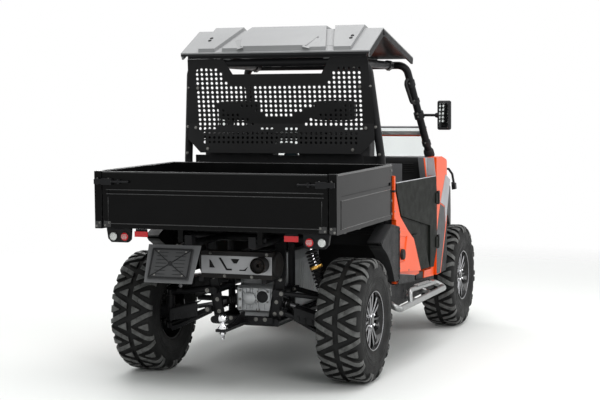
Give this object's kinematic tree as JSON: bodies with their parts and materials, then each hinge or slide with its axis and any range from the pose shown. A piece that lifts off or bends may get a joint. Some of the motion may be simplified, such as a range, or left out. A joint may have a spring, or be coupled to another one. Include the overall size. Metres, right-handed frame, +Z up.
{
  "type": "side by side utility vehicle",
  "caption": "Two-seat off-road utility vehicle with a roll cage, roof, half doors, tipping load bed and lugged tyres.",
  "frame": {"origin": "on the ground under the middle of the vehicle, midway between the axles", "axes": "+X forward, +Y to the vehicle's left, +Z up"},
  "size_m": [2.904, 1.48, 1.8419],
  "materials": {
    "tyre": "moulded rubber, matt",
    "rim": "black paint with machined faces",
    "frame_paint": "black, satin",
    "bed_paint": "black, gloss",
    "body_paint": "orange, gloss",
    "black_plastic": "black, fine grain",
    "grey_plastic": "mid grey, fine grain",
    "cast_metal": "as cast",
    "steel": "satin",
    "spring_paint": "black, gloss",
    "tube_metal": "silver grey, satin",
    "exhaust_paint": "black, heat proof",
    "clear_glass": "clear",
    "red_lens": "red lens",
    "mirror_face": "silvered",
    "seat_cover": "black vinyl"
  },
  "bodies": {
    "chassis": {"chassis_frame": "frame_paint", "suspension_arms": "frame_paint", "rear_knuckles": "frame_paint", "tow_hitch": "frame_paint", "roll_cage": "frame_paint", "bull_bar": "frame_paint", "door_hinges": "frame_paint", "rear_screen": "frame_paint", "grab_handle": "frame_paint", "steering_gear": "frame_paint", "front_fenders": "body_paint", "quarter_panels": "body_paint", "sills": "black_plastic", "rear_mudguards": "black_plastic", "skid_plate": "black_plastic", "plate_holder": "black_plastic", "grille": "black_plastic", "fuel_cap": "black_plastic", "mirrors": "black_plastic", "nose": "black_plastic", "front_flares": "black_plastic", "cab_tub": "black_plastic", "roof": "grey_plastic", "plate_bracket": "grey_plastic", "cowl": "grey_plastic", "dashboard": "grey_plastic", "gear_cases": "cast_metal", "engine": "cast_metal", "drive_shafts": "steel", "shock_bodies": "steel", "shock_springs": "spring_paint", "step_bars": "tube_metal", "muffler_shield": "tube_metal", "muffler": "exhaust_paint", "windscreen": "clear_glass", "headlights": "clear_glass", "mirror_glass": "mirror_face", "seat_cushions": "seat_cover", "seat_backs": "seat_cover"},
    "bed": {"bed_tub": "bed_paint", "lamp_housings": "frame_paint", "clear_lamps": "clear_glass", "red_lamps": "red_lens"},
    "tailgate": {"tailgate": "bed_paint", "tailgate_latches": "frame_paint"},
    "door_left": {"door_left": "black_plastic"},
    "door_right": {"door_right": "black_plastic"},
    "hood": {"hood": "body_paint"},
    "steering_wheel": {"steering_wheel": "black_plastic"},
    "steering_rack": {"tie_rods": "steel"},
    "knuckle_left": {"knuckle_front_left": "frame_paint"},
    "knuckle_right": {"knuckle_front_right": "frame_paint"},
    "wheel_rear_left": {"tyre_rear_left": "tyre", "rim_rear_left": "rim"},
    "wheel_rear_right": {"tyre_rear_right": "tyre", "rim_rear_right": "rim"},
    "wheel_front_left": {"tyre_front_left": "tyre", "rim_front_left": "rim"},
    "wheel_front_right": {"tyre_front_right": "tyre", "rim_front_right": "rim"}
  },
  "joints": [
    {"name": "bed_tilt", "type": "hinge", "parent": "chassis", "child": "bed", "pos_m": [-1.325, 0, 0.756], "axis": [0, -1, 0], "range_deg": [0, 45]},
    {"name": "tailgate_fold", "type": "hinge", "parent": "bed", "child": "tailgate", "pos_m": [-1.425, 0, 0.821], "axis": [0, -1, 0], "range_deg": [0, 90]},
    {"name": "door_left_swing", "type": "hinge", "parent": "chassis", "child": "door_left", "pos_m": [0.352, 0.6625, 0.72], "axis": [0, 0, -1], "range_deg": [0, 65]},
    {"name": "door_right_swing", "type": "hinge", "parent": "chassis", "child": "door_right", "pos_m": [0.352, -0.6625, 0.72], "axis": [0, 0, 1], "range_deg": [0, 65]},
    {"name": "hood_lift", "type": "hinge", "parent": "chassis", "child": "hood", "pos_m": [0.588, 0, 1.0735], "axis": [0, -1, 0], "range_deg": [0, 50]},
    {"name": "steering_turn", "type": "hinge", "parent": "chassis", "child": "steering_wheel", "pos_m": [0.232, 0.282, 1.012], "axis": [-0.848, 0, 0.5299], "range_deg": [-135, 135]},
    {"name": "rack_slide", "type": "slide", "parent": "chassis", "child": "steering_rack", "axis": [0, -1, 0], "range_m": [-0.044, 0.044]},
    {"name": "knuckle_left_turn", "type": "hinge", "parent": "chassis", "child": "knuckle_left", "pos_m": [0.932, 0.483, 0.318], "axis": [0, 0, 1], "range_deg": [-28.1, 28.1]},
    {"name": "knuckle_right_turn", "type": "hinge", "parent": "chassis", "child": "knuckle_right", "pos_m": [0.932, -0.483, 0.318], "axis": [0, 0, 1], "range_deg": [-28.1, 28.1]},
    {"name": "wheel_rear_left_spin", "type": "hinge", "parent": "chassis", "child": "wheel_rear_left", "pos_m": [-0.932, 0.565, 0.318], "axis": [0, 1, 0], "continuous": true},
    {"name": "wheel_front_left_spin", "type": "hinge", "parent": "knuckle_left", "child": "wheel_front_left", "pos_m": [0.932, 0.575, 0.318], "axis": [0, 1, 0], "continuous": true},
    {"name": "wheel_rear_right_spin", "type": "hinge", "parent": "chassis", "child": "wheel_rear_right", "pos_m": [-0.932, -0.565, 0.318], "axis": [0, 1, 0], "continuous": true},
    {"name": "wheel_front_right_spin", "type": "hinge", "parent": "knuckle_right", "child": "wheel_front_right", "pos_m": [0.932, -0.575, 0.318], "axis": [0, 1, 0], "continuous": true}
  ],
  "couplings": [
    {"joint": "rack_slide", "follows": "steering_turn", "m_per_rad": 0.017978},
    {"joint": "knuckle_left_turn", "follows": "steering_turn", "ratio": 0.20741},
    {"joint": "knuckle_right_turn", "follows": "steering_turn", "ratio": 0.20741}
  ]
}
